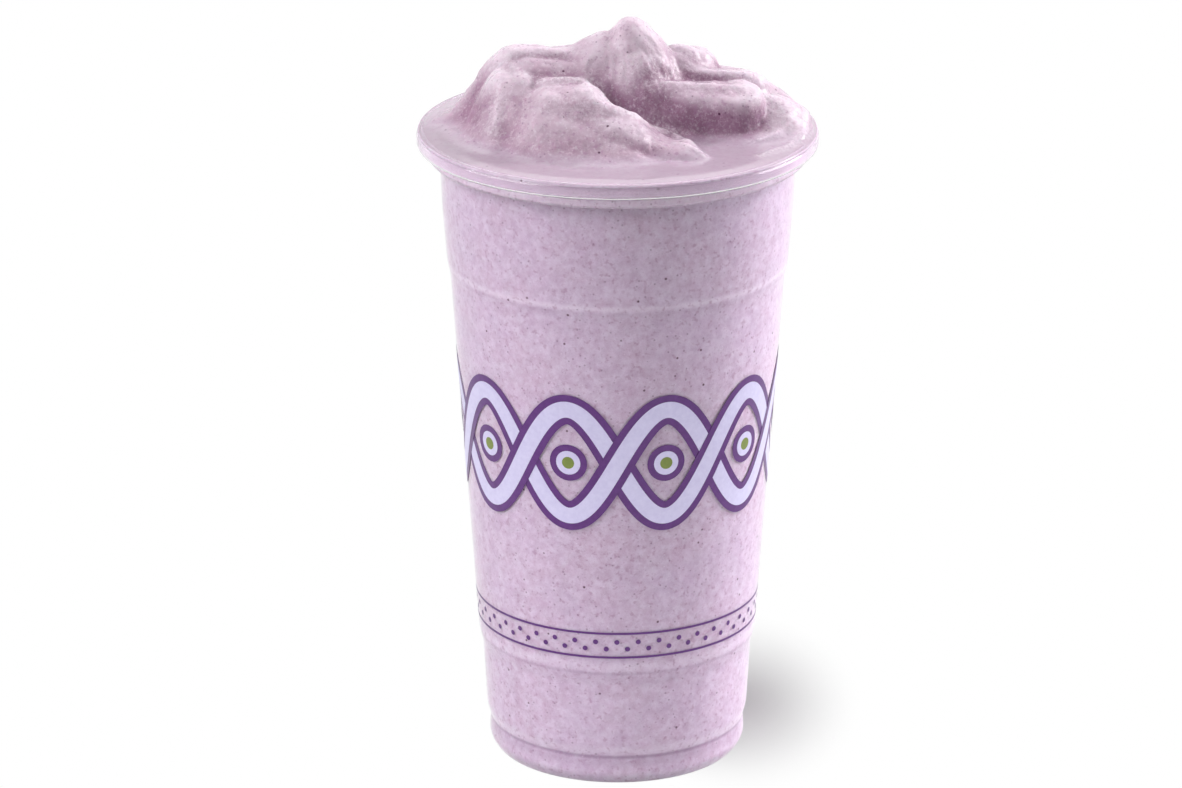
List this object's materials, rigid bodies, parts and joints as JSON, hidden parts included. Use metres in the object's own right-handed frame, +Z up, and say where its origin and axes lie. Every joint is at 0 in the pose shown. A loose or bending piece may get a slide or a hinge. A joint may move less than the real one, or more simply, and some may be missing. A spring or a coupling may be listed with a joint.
{
  "type": "taro smoothie in a clear plastic cup",
  "caption": "Tall clear takeaway cup with a curled lip, filled over the brim with a pale purple taro smoothie heaped in soft folds.",
  "frame": {"origin": "centre of the base, on the surface that the cup stands on", "axes": "+Z up along the cup's axis; -Y towards the drinker, the side that the heap's folded front faces"},
  "size_m": [0.095, 0.095, 0.1808],
  "materials": {
    "clear_cup_plastic": "clear thermoformed polypropylene, glossy and slightly soft in its reflections",
    "taro_slush": "blended taro and ice, pale grey-mauve, moist, finely grained, with small purple specks",
    "printed_ink": "screen-printed ink on the outside of the cup, deep purple, pale lavender and olive green"
  },
  "bodies": {
    "root": {"cup": "clear_cup_plastic", "smoothie": "taro_slush"}
  },
  "joints": []
}
